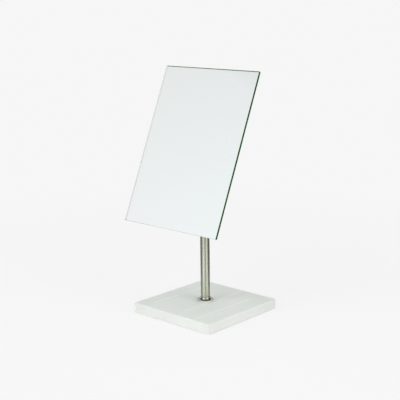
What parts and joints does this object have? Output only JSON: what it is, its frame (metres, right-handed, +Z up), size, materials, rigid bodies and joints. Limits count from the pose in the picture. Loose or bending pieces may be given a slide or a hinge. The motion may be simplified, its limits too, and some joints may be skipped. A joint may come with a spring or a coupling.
{
  "type": "pedestal mirror",
  "caption": "Frameless rectangular tilting mirror on a brushed steel post, with a flared chrome collar and a square whitewashed wooden base.",
  "frame": {"origin": "centre of the felt's underside, on the table, below the middle of the post", "axes": "+Z up along the post, +X along the width of the glass, and the glass looks towards -Y, leaning back 23 degrees at rest"},
  "size_m": [0.18, 0.1515, 0.3627],
  "materials": {
    "whitewashed_wood": "matte",
    "felt": "matte",
    "zinc_plate": "satin",
    "polished_chrome": "polished",
    "brushed_steel": "satin",
    "nylon": "matte",
    "powder_coat": "satin",
    "foam_tape": "matte",
    "backing_paint": "matte",
    "silvering": "polished",
    "clear_glass": "polished"
  },
  "bodies": {
    "stand": {"base_board": "whitewashed_wood", "base_felt": "felt", "base_bolt": "zinc_plate", "base_washer": "zinc_plate", "base_lock_washer": "zinc_plate", "post_collar": "polished_chrome", "post_tube": "brushed_steel", "lower_plug": "zinc_plate", "upper_plug": "brushed_steel", "swivel_glide": "nylon", "swivel_washer": "zinc_plate", "swivel_spring": "zinc_plate", "swivel_screw": "zinc_plate"},
    "fork": {"hinge_fork": "brushed_steel", "hinge_pin": "zinc_plate", "hinge_glides": "nylon", "pin_washer": "zinc_plate", "pin_spring": "zinc_plate", "pin_nut": "zinc_plate"},
    "mirror_head": {"mirror_lug": "brushed_steel", "lug_screws": "zinc_plate", "mounting_plate": "powder_coat", "bonding_pad": "foam_tape", "backing_paint": "backing_paint", "silver_coat": "silvering", "mirror_glass": "clear_glass"}
  },
  "joints": [
    {"name": "post_swivel", "type": "hinge", "parent": "stand", "child": "fork", "pos_m": [0, 0, 0.2228], "axis": [0, 0, 1], "continuous": true},
    {"name": "mirror_tilt", "type": "hinge", "parent": "fork", "child": "mirror_head", "pos_m": [0, 0, 0.2398], "axis": [1, 0, 0], "range_deg": [-67, 31]}
  ]
}
